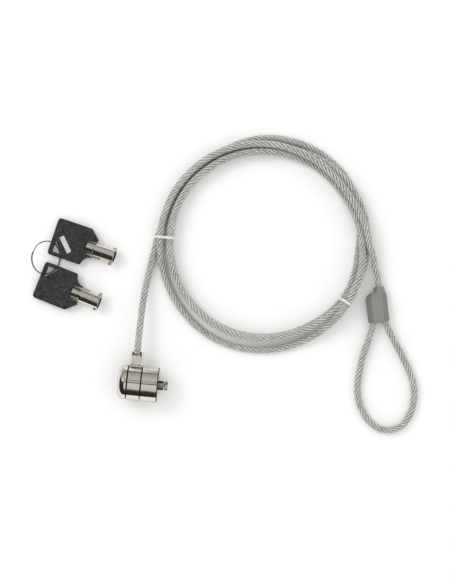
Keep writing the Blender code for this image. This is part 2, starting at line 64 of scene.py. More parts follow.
def smooth_step(low, high, x):
    t = min(1.0, max(0.0, (x - low) / (high - low)))
    return t * t * (3 - 2 * t)


# ---------------------------------------------------------------- writing materials
class Nodes:
    """Short calls for writing a node tree."""

    def __init__(self, tree):
        self.tree = tree

    def node(self, kind, props=None, **inputs):
        made = self.tree.nodes.new("ShaderNode" + kind)
        for key, value in (props or {}).items():
            setattr(made, key, value)
        for key, value in inputs.items():
            self.put(made.inputs[key.replace("_", " ")], value)
        return made

    def put(self, socket, value):
        if isinstance(value, bpy.types.NodeSocket):
            self.tree.links.new(value, socket)
        else:
            socket.default_value = value

    def math(self, operation, a, b=0.0, clamp=False):
        made = self.node("Math", {"operation": operation, "use_clamp": clamp})
        self.put(made.inputs[0], a)
        self.put(made.inputs[1], b)
        return made.outputs[0]

    def over(self, value, low, high):
        """0 under low, 1 over high, straight between."""
        return self.math("MULTIPLY", self.math("SUBTRACT", value, low), 1 / (high - low), True)

    def band(self, value, low, high, soft):
        """1 from low to high, falling away over soft on each side."""
        after_low = self.over(value, low - soft, low)
        before_high = self.math("SUBTRACT", 1.0, self.over(value, high, high + soft))
        return self.math("MULTIPLY", after_low, before_high)


class Recipe(Nodes):
    """A material being written: a Principled shader and the patterns that drive it."""

    def __init__(self, name, **plain):
        self.mat = bpy.data.materials.new(name)
        self.mat.use_nodes = True
        super().__init__(self.mat.node_tree)
        self.shader = self.tree.nodes["Principled BSDF"]
        for socket, value in plain.items():
            self.shader.inputs[socket.replace("_", " ")].default_value = value
        coordinates = self.node("TexCoord")
        self.where = coordinates.outputs["Object"]
        self.uv = coordinates.outputs["UV"]

    def noise(self, scale, detail=2.0, stretch=None, at=None):
        """Noise from 0 to 1; scale is in features per metre."""
        at = at or self.where
        if stretch:
            at = self.node("Mapping", Vector=at, Scale=stretch).outputs[0]
        return self.node("TexNoise", Vector=at, Scale=scale, Detail=detail).outputs[0]

    def spread(self, value, low, high, start=0.0, end=1.0):
        """Value's range from start to end laid over low to high."""
        made = self.node("MapRange", Value=value)
        for index, number in zip((1, 2, 3, 4), (start, end, low, high)):
            self.put(made.inputs[index], number)
        return made.outputs[0]

    def ramp(self, value, *stops):
        """Colours along a value: (place, (r, g, b)) each."""
        made = self.node("ValToRGB", Fac=value)
        points = made.color_ramp.elements
        while len(points) < len(stops):
            points.new(0.5)
        for point, (at, rgb) in zip(points, stops):
            point.position = at
            point.color = (*rgb, 1.0)
        return made.outputs[0]

    def darkened(self, colour, share):
        """The colour multiplied by a grey value."""
        made = self.node("Mix", {"data_type": "RGBA", "blend_type": "MULTIPLY"})
        self.put(made.inputs[0], 1.0)
        self.put(made.inputs[6], colour)
        self.put(made.inputs[7], share)
        return made.outputs[2]

    def blend(self, share, first, second):
        """From the first colour at 0 to the second at 1."""
        made = self.node("Mix", {"data_type": "RGBA"})
        self.put(made.inputs[0], share)
        self.put(made.inputs[6], first)
        self.put(made.inputs[7], second)
        return made.outputs[2]

    def bump(self, height, depth, strength=1.0, over=None):
        """Relief of that depth in mm, over an earlier one if given."""
        made = self.node("Bump", Height=height, Distance=depth * MM, Strength=strength)
        if over is not None:
            self.put(made.inputs["Normal"], over)
        return made.outputs[0]

    def finish(self, colour, rough, normal=None, **more):
        sockets = {"Base Color": colour, "Roughness": rough, "Normal": normal, **more}
        for name, value in sockets.items():
            if value is not None:
                self.put(self.shader.inputs[name], value)
        return self.mat


def tinted(rgb, share):
    return tuple(c * share for c in rgb)


def plated(name, rgb, polish=0.09, ripple=0.02, lines=(1, 1, 1)):
    """Bright plating: clouded a little, rubbed in fine lines, and not quite flat."""
    m = Recipe(name, Metallic=1.0, Specular_Tint=(0.74, 0.74, 0.73, 1.0))
    cloud = m.noise(150, 3)
    rub = m.noise(3200, 2, stretch=lines)
    colour = m.ramp(cloud, (0.3, tinted(rgb, 0.93)), (0.7, rgb))
    rough = m.spread(rub, polish, polish + 0.12, 0.35, 0.8)
    waves = m.bump(m.noise(330, 1), ripple)
    return m.finish(colour, rough, m.bump(rub, 0.004, 0.5, waves))


def turned_steel(name, rgb, polish=0.22, pitch=2600, glance=1.0):
    """Machined steel with fine turning rings along X; glance is how bright it is seen at a flat angle."""
    m = Recipe(name, Metallic=1.0, Specular_Tint=(glance, glance, glance, 1.0))
    rings = m.noise(pitch, 2, stretch=(1, 0.05, 0.05))
    colour = m.ramp(rings, (0.3, tinted(rgb, 0.72)), (0.7, rgb))
    rough = m.spread(m.noise(400, 3), polish, polish + 0.15)
    return m.finish(colour, rough, m.bump(rings, 0.02, 0.6))


def blade_steel(name):
    """The key's blade seen in the bow's window: pale brushed steel."""
    m = Recipe(name, Metallic=0.4, Specular_IOR_Level=0.6)
    brushed = m.noise(1400, 3, stretch=(0.15, 1, 1))
    colour = m.ramp(brushed, (0.3, (0.66, 0.66, 0.64)), (0.7, (0.90, 0.90, 0.88)))
    return m.finish(colour, m.spread(brushed, 0.3, 0.45), m.bump(brushed, 0.02, 0.6))


def brass(name):
    m = Recipe(name, Metallic=1.0)
    cloud = m.noise(500, 3)
    colour = m.ramp(cloud, (0.3, (0.58, 0.43, 0.19)), (0.75, (0.80, 0.63, 0.31)))
    scratches = m.noise(3000, 2, stretch=(1, 0.1, 0.1))
    return m.finish(colour, m.spread(cloud, 0.2, 0.38), m.bump(scratches, 0.01))


def key_plastic(name):
    """Charcoal plastic with the fine spark-eroded grain of a moulded key bow."""
    m = Recipe(name, IOR=1.46)
    grain = m.noise(1500, 3)
    cloud = m.noise(330, 4)
    pit, face, peak = (0.006, 0.006, 0.007), (0.032, 0.032, 0.033), (0.085, 0.085, 0.086)
    speck = m.ramp(grain, (0.3, pit), (0.5, face), (0.7, peak))
    colour = m.darkened(speck, m.ramp(cloud, (0.35, (0.6, 0.6, 0.6)), (0.65, (1.0, 1.0, 1.0))))
    return m.finish(colour, m.spread(cloud, 0.44, 0.6), m.bump(grain, 0.10, 0.9))


def vinyl(name, shade=1.0):
    """Grey moulded vinyl: nearly smooth, a soft sheen and faint moulding ripples."""
    m = Recipe(name, IOR=1.5, Coat_Weight=0.35, Coat_Roughness=0.18)
    cloud = m.noise(90, 3)
    # shade below 1 makes a darker copy, used as painted shade on the cover's sides.
    dark, light = tinted((0.205, 0.207, 0.193), shade), tinted((0.242, 0.244, 0.230), shade)
    colour = m.ramp(cloud, (0.3, dark), (0.7, light))
    return m.finish(colour, m.spread(m.noise(900, 2), 0.34, 0.46), m.bump(m.noise(260, 2), 0.05, 0.6))


def tie_plastic(name):
    """Milky see-through strap with lengthwise drawing lines."""
    m = Recipe(name, IOR=1.5, Alpha=0.8, Coat_Weight=0.3, Coat_Roughness=0.12)
    lines = m.noise(2200, 2)
    colour = m.ramp(lines, (0.3, (0.66, 0.67, 0.62)), (0.7, (0.90, 0.90, 0.86)))
    return m.finish(colour, m.spread(lines, 0.22, 0.4), m.bump(lines, 0.05, 0.6))


def rope_steel(name):
    """Galvanised strands. UV: x counts strands round the rope, y counts lays along it."""
    m = Recipe(name, Metallic=0.25, Specular_IOR_Level=0.75)
    split = m.node("SeparateXYZ", Vector=m.uv)
    around, along = split.outputs[0], split.outputs[1]
    # How far from a strand's middle, 0 to 1: painted shade darkens the groove between strands, except where
    # the coating's haze fills it.
    across = m.math("FRACT", around)
    edge = m.math("MULTIPLY", m.math("ABSOLUTE", m.math("SUBTRACT", across, 0.5)), 2.0)
    gap = m.ramp(edge, (0.30, (1.0, 1.0, 1.0)), (0.76, (0.36, 0.36, 0.355)), (1.0, (0.03, 0.03, 0.03)))
    filled = m.spread(m.noise(230, 3), 0.0, 0.75, 0.40, 0.64)
    gap = m.blend(filled, gap, (0.66, 0.66, 0.65, 1.0))
    # The wires of a strand cross it at a slant, with painted shade in the fine grooves between them.
    twist = m.math("ADD", m.math("MULTIPLY", around, 4.0), m.math("MULTIPLY", along, 15.0))
    wires = m.math("ABSOLUTE", m.math("SINE", m.math("MULTIPLY", twist, math.pi)))
    wire_shade = m.ramp(wires, (0.0, (0.42, 0.42, 0.41)), (0.5, (1.0, 1.0, 1.0)))
    blurred = m.spread(m.noise(330, 2), 0.0, 0.8, 0.35, 0.6)
    wire_shade = m.blend(blurred, wire_shade, (0.85, 0.85, 0.84, 1.0))
    zinc = m.ramp(m.noise(700, 4), (0.32, (0.62, 0.62, 0.605)), (0.6, (1.0, 1.0, 0.985)))
    colour = m.darkened(m.darkened(zinc, gap), wire_shade)
    rough = m.spread(m.noise(800, 2), 0.22, 0.42)
    return m.finish(colour, rough, m.bump(wires, 0.12, 0.8))


def clear_jacket(name):
    """Clear coating: glossy, with a thin haze that comes and goes along the cable."""
    m = Recipe(name, IOR=1.5, Specular_IOR_Level=0.9)
    haze = m.noise(38, 2)
    colour = m.ramp(haze, (0.3, (0.62, 0.62, 0.60)), (0.7, (0.80, 0.80, 0.78)))
    rough = m.spread(m.noise(300, 2), 0.06, 0.16)
    ripple = m.bump(m.noise(600, 1), 0.01, 0.5)
    return m.finish(colour, rough, ripple, Alpha=m.spread(haze, 0.05, 0.16, 0.4, 0.62))


# ---------------------------------------------------------------- building meshes
def shown(name, mesh, material, body, smooth_angle=32.0):
    """A piece of the object on its body, smooth but for edges sharper than the angle."""
    mesh.name = name
    mesh.shade_smooth()
    mesh.set_sharp_from_angle(angle=math.radians(smooth_angle))
    painted = [face.material_index for face in mesh.polygons]
    mesh.materials.clear()
    for m in material if isinstance(material, tuple) else (material,):
        mesh.materials.append(m)
    mesh.polygons.foreach_set("material_index", painted)
    piece = bpy.data.objects.new(name, mesh)
    bpy.context.scene.collection.objects.link(piece)
    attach(piece, body)
    if smooth_angle < 60:
        even = piece.modifiers.new("even_normals", "WEIGHTED_NORMAL")
        even.keep_sharp = True
    return piece


def paint(mesh, in_painted_shade):
    """Gives the faces picked by the test of (centre mm, normal) the piece's second material: painted shade.
    """
    for face in mesh.polygons:
        face.material_index = int(in_painted_shade(face.center / MM, face.normal))
    return mesh


def rings_mesh(rings, wrap=False):
    """A tube through rings of points: closed at both ends, or joined end to end with wrap."""
    count, sides = rings.shape[:2]
    start = np.arange(count if wrap else count - 1)[:, None] * sides
    side = np.arange(sides)[None, :]
    step = (side + 1) % sides
    after = (start + sides) % (count * sides)
    quads = np.stack([start + side, start + step, after + step, after + side], axis=2).reshape(-1, 4)
    faces = quads.tolist()
    if not wrap:
        faces.append(list(range(sides))[::-1])
        faces.append(list(range((count - 1) * sides, count * sides)))
    mesh = bpy.data.meshes.new("rings")
    mesh.from_pydata(rings.reshape(-1, 3).tolist(), [], faces)
    return mesh


def lathe(profile, steps=96):
    """A closed (station, radius) outline turned about +X, mm in and metres out."""
    profile = np.array(profile, float) * MM
    angles = np.linspace(0, math.tau, steps, endpoint=False)
    rings = np.stack([
        np.stack([profile[:, 0], profile[:, 1] * math.cos(a), profile[:, 1] * math.sin(a)], axis=1)
        for a in angles])
    mesh = rings_mesh(rings, wrap=True)
    return cleaned(mesh)


def cleaned(mesh):
    bm = bmesh.new()
    bm.from_mesh(mesh)
    bmesh.ops.remove_doubles(bm, verts=bm.verts, dist=1e-7)
    bmesh.ops.dissolve_degenerate(bm, edges=bm.edges, dist=1e-7)
    bmesh.ops.recalc_face_normals(bm, faces=bm.faces)
    bm.to_mesh(mesh)
    bm.free()
    return mesh


def rod(x0, x1, r, round_end=0.0, steps=48):
    """A solid bar along X, with its far edge rounded."""
    corner_x, corner_r = x1 - round_end, r - round_end
    profile = [(x0, 0.0), (x0, r)]
    for a in np.linspace(0, math.pi / 2, 5):
        profile.append((corner_x + round_end * math.sin(a), corner_r + round_end * math.cos(a)))
    return lathe(profile + [(x1, 0.0)], steps)


def block(size, centre=(0, 0, 0), turn=0.0):
    """A box, turned about Z by degrees, mm in and metres out."""
    bm = bmesh.new()
    bmesh.ops.create_cube(bm, size=1.0)
    bmesh.ops.scale(bm, vec=Vector(size) * MM, verts=bm.verts)
    bmesh.ops.rotate(bm, matrix=Matrix.Rotation(math.radians(turn), 3, "Z"), verts=bm.verts)
    bmesh.ops.translate(bm, vec=Vector(centre) * MM, verts=bm.verts)
    mesh = bpy.data.meshes.new("block")
    bm.to_mesh(mesh)
    bm.free()
    return mesh


def prism(outline, z0, z1):
    """A flat outline raised from z0 to z1."""
    rings = np.array([[(x, y, z) for x, y in outline] for z in (z0, z1)], float) * MM
    return cleaned(rings_mesh(rings))


def turned(mesh, axis, degrees):
    mesh.transform(Matrix.Rotation(math.radians(degrees), 4, axis))
    return mesh


def moved(mesh, x, y, z):
    mesh.transform(Matrix.Translation(Vector((x, y, z)) * MM))
    return mesh


def solid(mesh, *steps, bevel=0.0, segments=2, angle=30.0):
    """The mesh after booleans, each ("cut" or "add", mesh), and an edge rounding in mm."""
    work = bpy.data.objects.new("work", mesh)
    bpy.context.scene.collection.objects.link(work)
    tools = []
    for kind, other in steps:
        tool = bpy.data.objects.new("tool", other)
        bpy.context.scene.collection.objects.link(tool)
        tools.append(tool)
        boolean = work.modifiers.new("boolean", "BOOLEAN")
        boolean.operation = "UNION" if kind == "add" else "DIFFERENCE"
        boolean.solver = "EXACT"
        boolean.object = tool
    if bevel:
        rounding = work.modifiers.new("rounding", "BEVEL")
        rounding.width = bevel * MM
        rounding.segments = segments
        rounding.limit_method = "ANGLE"
        rounding.angle_limit = math.radians(angle)
        rounding.miter_outer = "MITER_ARC"
    bpy.context.view_layer.update()
    made = bpy.data.meshes.new_from_object(work.evaluated_get(bpy.context.evaluated_depsgraph_get()))
    for o in [work, *tools]:
        bpy.data.objects.remove(o)
    return made


def arc(cx, cy, r, start, end, steps=6):
    angles = [math.radians(start + (end - start) * k / steps) for k in range(steps + 1)]
    return [(cx + r * math.cos(a), cy + r * math.sin(a)) for a in angles]


# ---------------------------------------------------------------- cable
CABLE_R = 2.05
STRANDS, LAY = 6, 17.5          # strands round the core, and the length of one full twist, mm
STRAND_AT, STRAND_R = 1.25, 0.67
COIL_AT = (17.7, 27.7)
TIE_ANGLES = {"tie_left": 180.5, "tie_right": 331.6}
COVER_AT, COVER_TURN, COVER_Z = (85.2, 0.9), -78.0, 3.8
COVER_L, NECK_SIDE, LEG_SIDE = 20.0, 2.1, 3.45
HEAD_AT, HEAD_Z, BOSS_TOP = (-46.1, -55.5), 9.7, 17.6

# The coil's turns, clockwise from a bearing of 150 degrees in the camera's view, one value every
# TURN_STEP degrees: how far the cable's middle is from the coil's, and the height that it settles from, mm.
TURN_STEP, FIRST_BEARING = 30, 150
TURN_RADII = (
    56.9, 57.2, 60.7, 61.7, 60.1, 54.7, 54.6, 52.1, 51.2, 51.2, 51.2, 51.8,
    52.7, 53.0, 55.4, 58.3, 59.9, 59.2, 56.5, 53.0, 51.9, 51.8, 51.5, 52.1,
    52.8, 52.9, 53.0, 53.7, 54.2, 56.4, 57.4, 58.1, 58.6, 58.5, 57.5, 57.4,
    57.8, 57.9, 57.4, 56.4, 56.4, 60.4)
TURN_HEIGHTS = (
    2.1, 2.1, 2.1, 2.1, 2.1, 2.1, 2.1, 2.1, 2.1, 2.1, 2.1, 2.1,
    2.1, 2.1, 2.1, 4.2, 6.2, 3.6, 5.2, 6.1, 6.1, 6.1, 6.1, 6.2,
    6.2, 6.2, 5.4, 4.5, 4.6, 6.6, 9.0, 6.0, 3.0, 2.1, 2.5, 6.0,
    6.2, 6.2, 6.1, 7.8, 8.3, 7.7)

# The stretches that aren't coiled, layout mm: out of the boss and down to the table, from the coil to the
# cover, and round the end loop.
LEAD = [
    (HEAD_AT[0], HEAD_AT[1] + BOSS_TOP - 0.4, HEAD_Z), (HEAD_AT[0], HEAD_AT[1] + BOSS_TOP + 6.5, HEAD_Z),
    (-46.0, -21.3, 8.6), (-45.8, -11.0, 6.6), (-45.2, -2.3, 4.6), (-44.4, 4.6, 3.2), (-43.4, 12.0, 2.3),
    (-41.9, 22.0, 2.1), (-40.0, 32.2, 2.1)]
TAIL = [(81.0, 26.0, 5.2), (82.0, 21.0, 4.6)]
LOOP = [
    (97.5, -19.4, 3.4), (102.1, -26.2, 2.8), (106.2, -33.0, 2.3), (109.4, -39.5, 2.2), (111.0, -45.7, 2.2),
    (111.2, -52.0, 2.2), (109.9, -58.4, 2.2), (107.0, -64.2, 2.2), (102.8, -67.6, 2.2), (97.7, -68.8, 2.2),
    (92.9, -68.2, 2.2), (87.4, -64.9, 2.2), (82.8, -59.2, 2.2), (79.9, -52.3, 2.2), (78.9, -45.2, 2.2),
    (79.2, -37.0, 2.3), (80.4, -27.9, 2.8), (82.6, -18.6, 3.4)]

cover_along = Vector((math.cos(math.radians(COVER_TURN)), math.sin(math.radians(COVER_TURN)), 0))
cover_across = Vector((-cover_along.y, cover_along.x, 0))
COVER_END = COVER_L / 2


def by_cover(along, side):
    """A layout point at that distance along the cover from its middle, and to the side of it."""
    p = Vector((*COVER_AT, COVER_Z)) + cover_along * along + cover_across * side
    return (p.x, p.y, p.z)


def curve_through(points, per=12):
    """Points along a Catmull-Rom curve through the given ones."""
    pts = np.array(points, float)
    pts = np.vstack([2 * pts[0] - pts[1], pts, 2 * pts[-1] - pts[-2]])
    out = []
    for i in range(1, len(pts) - 2):
        p0, p1, p2, p3 = pts[i - 1:i + 3]
        for t in np.arange(per) / per:
            out.append(0.5 * (2 * p1 + (p2 - p0) * t + (2 * p0 - 5 * p1 + 4 * p2 - p3) * t ** 2
                              + (3 * p1 - p0 - 3 * p2 + p3) * t ** 3))
    return np.array(out + [pts[-2]])


def evenly(line, step):
    """The line again with points a step apart."""
    run = np.concatenate([[0], np.cumsum(np.linalg.norm(np.diff(line, axis=0), axis=1))])
    at = np.linspace(0, run[-1], round(run[-1] / step) + 1)
    return np.stack([np.interp(at, run, line[:, k]) for k in range(line.shape[1])], axis=1)


def coil_points():
    """The coil's turns in layout mm: radius and height between the set ones, a point every 6 degrees."""
    stops = [(FIRST_BEARING - TURN_STEP * i, radius, height)
             for i, (radius, height) in enumerate(zip(TURN_RADII, TURN_HEIGHTS))]
    points = []
    for bearing, radius, height in curve_through(stops, per=5):
        a = math.radians(bearing + VIEW_ROLL)
        points.append((COIL_AT[0] + radius * math.cos(a), COIL_AT[1] + radius * math.sin(a), height))
    return points


def floor_under(line):
    """How low the cable's middle may lie: on the table, or on the strap of a tie."""
    mid_turn, strap, reach = 56, 0.6, 12.0
    low = np.full(len(line), CABLE_R)
    for degrees in TIE_ANGLES.values():
        a = math.radians(degrees)
        spot = np.array([COIL_AT[0] + mid_turn * math.cos(a), COIL_AT[1] + mid_turn * math.sin(a)])
        away = np.linalg.norm(line[:, :2] - spot, axis=1)
        low = np.maximum(low, CABLE_R + strap * np.exp(-(away / reach) ** 2))
    return low


def settle(line, free, rounds=260):
    """Lets the turns fall on to each other: no two stretches closer than a diameter, none under the floor.

    free says how far each point may leave its place, 0 to 1.
    """
    gap = 2 * CABLE_R + 0.06
    same_stretch = 10
    yielding = 0.5 * np.array([0.2, 0.2, 1.0])      # the turns slide up more easily than they slide apart
    fall, home_pull, stiffness = 0.03, 0.12, 0.45
    home, at = line.copy(), line.copy()
    index = np.arange(len(line))
    apart = np.abs(index[:, None] - index[None, :]) > same_stretch
    for n in range(rounds):
        away = at[:, None, :] - at[None, :, :]
        far = np.linalg.norm(away, axis=2) + 1e-9
        push = np.where(apart & (far < gap), (gap - far) / far, 0.0)
        touching = np.maximum(1, (push > 0).sum(1))
        at = at + yielding * (away * push[:, :, None]).sum(1) / touching[:, None]
        if n < rounds * 0.8:
            at[:, 2] -= fall
        at[:, :2] += home_pull * (home[:, :2] - at[:, :2])
        bend = (at[:-2] + at[2:]) / 2 - at[1:-1]
        at[1:-1, 2] += stiffness * bend[:, 2]
        at[:, 2] = np.maximum(at[:, 2], floor_under(at))
        at = home + (at - home) * free[:, None]
    return at


def cable_line():
    """The cable's middle from the lock to the crimp, in the row frame, metres."""
    through = [by_cover(-COVER_END - 7, NECK_SIDE), by_cover(-COVER_END, NECK_SIDE), by_cover(-4, 2.4),
               by_cover(4, 3.2), by_cover(COVER_END, LEG_SIDE)]
    back = [by_cover(COVER_END, -LEG_SIDE), by_cover(2, -LEG_SIDE)]
    coarse, fine = 2.6, 1.2
    whole = evenly(curve_through(LEAD + coil_points() + TAIL + through + LOOP + back), coarse)
    run = np.arange(len(whole)) * coarse
    cover_starts = run[-1] - 225
    # Only the coil settles: both its ends are eased in from stretches that keep their place.
    free = np.array([
        smooth_step(20, 60, s) * (1 - smooth_step(cover_starts - 60, cover_starts - 25, s)) for s in run])
    smooth = evenly(curve_through(settle(whole, free), per=4), fine)
    return (smooth - np.array([*ORIGIN, 0])) * MM


def frames_along(line):
    """The level side and the upper side at each point of a line that is never upright."""
    along = np.gradient(line, axis=0)
    along /= np.linalg.norm(along, axis=1)[:, None]
    side = np.cross(along, [0, 0, 1.0])
    side /= np.linalg.norm(side, axis=1)[:, None]
    return -side, np.cross(along, -side)


def tube(line, section):
    """Rings round a line: section(i) gives ring i's points as (side, up) pairs in metres."""
    side, up = frames_along(line)
    rings = []
    for i, middle in enumerate(line):
        points = section(i)
        rings.append(middle + np.outer(points[:, 0], side[i]) + np.outer(points[:, 1], up[i]))
    return np.stack(rings)


def strand_outline(points=8):
    """Angles and radii round the rope's lobes, one strand after another, mm."""
    half = math.pi / STRANDS
    steps = (np.arange(points) / points - 0.5) * 2 * half
    radii = STRAND_AT * np.cos(steps) + np.sqrt(STRAND_R ** 2 - (STRAND_AT * np.sin(steps)) ** 2)
    angles = np.concatenate([steps + 2 * half * n for n in range(STRANDS)])
    return angles, np.tile(radii, STRANDS)


def lay_uv(mesh, sides, run):
    """UVs for rope_steel. The last face of each ring wraps back to its first point, one full round on."""
    corner = np.zeros(len(mesh.loops), int)
    mesh.loops.foreach_get("vertex_index", corner)
    ring, point = corner // sides, corner % sides
    face = np.repeat(np.arange(len(mesh.polygons)), [p.loop_total for p in mesh.polygons])
    wraps = (face % sides == sides - 1) & (point == 0)
    around = (point + np.where(wraps, sides, 0)) / (sides / STRANDS)
    uv = mesh.uv_layers.new(name="lay")
    uv.data.foreach_set("uv", np.stack([around, run[ring] / LAY], axis=1).astype(np.float32).ravel())


def build_strands(line, material):
    angles, radii = strand_outline()
    run = np.concatenate([[0], np.cumsum(np.linalg.norm(np.diff(line, axis=0), axis=1))]) / MM

    def section(i):
        turn = angles + math.tau * run[i] / LAY
        return np.stack([radii * np.cos(turn), radii * np.sin(turn)], axis=1) * MM

    mesh = rings_mesh(tube(line, section))
    lay_uv(mesh, len(angles), run)
    return shown("cable_strands", mesh, material, "cable", 60.0)


def build_jacket(line, material, sides=20):
    """The clear coating, in steps twice as long as the strands', with the cable's own two ends."""
    spaced = line[::2] if len(line) % 2 else np.vstack([line[:-1:2], line[-1:]])
    turn = np.arange(sides) / sides * math.tau
    circle = np.stack([np.cos(turn), np.sin(turn)], axis=1) * CABLE_R * MM
    mesh = rings_mesh(tube(spaced, lambda i: circle))
    return shown("cable_jacket", mesh, material, "cable", 60.0)


def hull(points):
    """The convex outline of flat points, counter-clockwise."""
    points = sorted(map(tuple, points))
    out = []
    for run in (points, points[::-1]):
        side = []
        for p in run:
            while len(side) > 1 and ((side[-1][0] - side[-2][0]) * (p[1] - side[-2][1])
                                     - (side[-1][1] - side[-2][1]) * (p[0] - side[-2][0])) <= 0:
                side.pop()
            side.append(p)
        out += side[:-1]
    return np.array(out)


def round_turns(line, centre, out, along):
    """The tight outline round the turns that cross the plane of out and Z: (outwards, up) in metres."""
    nearest, farthest, slack = 0.045, 0.0635, 0.06
    rel = line - centre
    side = rel @ along
    crossings = [i for i in range(len(line) - 1)
                 if side[i] * side[i + 1] <= 0 and nearest < rel[i] @ out < farthest]
    circle = [(math.cos(t), math.sin(t)) for t in np.linspace(0, math.tau, 32, endpoint=False)]
    r = (CABLE_R + slack) * MM
    outline = hull([(rel[i] @ out + r * c, line[i][2] + r * s) for i in crossings for c, s in circle])
    return evenly(np.vstack([outline, outline[:1]]), 0.0004)[:-1]


def build_tie(name, degrees, line, material, width=1.5, thick=0.45):
    """A flat strap pulled round the turns where it is."""
    centre = np.array(place(*COIL_AT, 0)) * MM
    a = math.radians(degrees)
    out, along = np.array([math.cos(a), math.sin(a), 0]), np.array([-math.sin(a), math.cos(a), 0])
    up = np.array([0, 0, 1])
    inner = round_turns(line, centre, out, along)
    tangent = np.roll(inner, -1, axis=0) - np.roll(inner, 1, axis=0)
    normal = np.stack([tangent[:, 1], -tangent[:, 0]], axis=1)
    normal /= np.linalg.norm(normal, axis=1)[:, None]
    half, lift, edge = width / 2 * MM, thick * MM, 0.12 * MM
    section = [(-half, 0), (-half, lift - edge), (-half + edge, lift), (half - edge, lift),
               (half, lift - edge), (half, 0)]
    rings = []
    for p, n in zip(inner, normal):
        rings.append([centre + out * (p[0] + n[0] * h) + up * (p[1] + n[1] * h) + along * w
                      for w, h in section])
    mesh = cleaned(rings_mesh(np.array(rings), wrap=True))
    return shown(name, mesh, material, "cable", 40.0)


# ---------------------------------------------------------------- loop cover
def cover_rings(half_l, half_w, half_h):
    """The cover's cross-sections, from the neck to the loop's end, mm."""
    # Where along the cover, its left edge, its right edge and its half height.
    stations = (
        (-half_l, -0.7, 4.9, 2.75), (-half_l + 0.5, -1.0, 5.2, 3.05), (-half_l + 1.2, -1.0, 5.25, 3.1),
        (-half_l + 1.9, -0.95, 5.2, 3.0), (-half_l + 2.6, -1.6, 5.3, 3.1), (-half_l + 3.2, -3.0, 5.5, 3.3),
        (-half_l + 3.8, -4.3, 5.7, 3.55), (-half_l + 4.8, -5.35, 5.9, half_h - 0.1),
        (-half_l + 6.2, -5.85, half_w, half_h), (-half_l + 7.8, -half_w, half_w, half_h),
        (0.0, -half_w, half_w, half_h), (half_l - 1.8, -half_w, half_w, half_h),
        (half_l - 0.9, -half_w + 0.12, half_w - 0.12, half_h - 0.06),
        (half_l - 0.3, -half_w + 0.5, half_w - 0.5, half_h - 0.3),
        (half_l, -half_w + 1.1, half_w - 1.1, half_h - 0.8))
    rings = []
    for x, left, right, tall in curve_through(stations, per=4):
        middle, half = (left + right) / 2, (right - left) / 2
        flat = 0.5 if half > 4 else 0.42            # how far out the flat top goes, as a share of half
        corner = [(1.0, 0.05), (1.0, 0.20), (0.985, 0.27), (0.955, 0.34), (flat + 0.07, 0.93),
                  (flat + 0.03, 0.975), (flat - 0.03, 1.0), (flat - 0.2, 1.0)]
        ring = []
        for side, up in ((1, 1), (-1, 1), (-1, -1), (1, -1)):
            outline = corner if side * up > 0 else corner[::-1]
            ring += [(x, middle + side * out * half, up * high * tall) for out, high in outline]
        rings.append(ring)
    return np.array(rings)


def build_cover(material):
    """The moulded cover: a long flat-topped body with sloped sides, drawn in to a neck round the cable."""
    low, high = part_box("crimp_cover")
    half_l, half_w, half_h = COVER_END, 6.0, (high.z - low.z) / 2 / MM
    mesh = cleaned(rings_mesh(cover_rings(half_l, half_w, half_h) * MM))
    hole_r = CABLE_R + 0.12
    holes = [("cut", moved(rod(-half_l - 3, -half_l + 2.5, hole_r), 0, NECK_SIDE, 0))]
    for side in (-1, 1):
        holes.append(("cut", moved(rod(half_l - 4, half_l + 3, hole_r), 0, side * LEG_SIDE, 0)))
    # Painted shade: the sloped and upright sides get the second, darker vinyl.
    mesh = paint(solid(mesh, *holes), lambda at, n: abs(n.y) > 0.4)
    turned(mesh, "Z", COVER_TURN)
    moved(mesh, *place(*COVER_AT, COVER_Z))
    cover = shown("loop_cover", mesh, material, "cable", 28.0)
    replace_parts(cover, "crimp_cover")
    return cover


# ---------------------------------------------------------------- lock head
joints = {j["name"]: j for j in frame["joints"]}
LOCK = Vector(joints["collar_swivel"]["pos_m"])
COLLAR_HALF, NOSE_BACK = 3.7, 4.0       # stations of the joints, mm from the collar's middle
STEM_R, SEAM = 6.8, 0.20        # the collar's bearing, and how far each rim stands back at a joint
BORE_R = STEM_R + 0.08
SOCKET_R = 2.5                  # the boss's bore for the cable
EDGE, RIM = 0.08, 0.03          # rounding of a rim: along the axis, and in towards it


def station(node, end):
    """A node's rear or front end along the lock's axis, mm from the collar's middle."""
    return (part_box(node)[end].x - LOCK.x) / MM


def on_lock(mesh):
    """A mesh made about the collar's middle, put there."""
    return moved(mesh, *(LOCK / MM))


def pin_at(pin):
    """A slot pin's place across the lock's axis, mm."""
    low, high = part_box(pin)
    middle = ((low + high) / 2 - LOCK) / MM
    return middle.y, middle.z


def front_rim(x, r):
    """A rounded rim that faces forwards at station x."""
    return [(x - EDGE, r), (x - EDGE * 0.3, r - RIM * 0.6), (x, r - EDGE)]


def rear_rim(x, r):
    """A rounded rim that faces backwards at station x."""
    return [(x, r - EDGE), (x + EDGE * 0.3, r - RIM * 0.6), (x + EDGE, r)]


def in_seam(head_r):
    """Faces of a joint between two turned parts, under the rim and looking along the axis: painted shade
    goes on them.
    """
    return lambda at, n: math.hypot(at.y, at.z) < head_r - 0.12 and abs(n.x) > 0.5 and abs(at.x) < 4.4


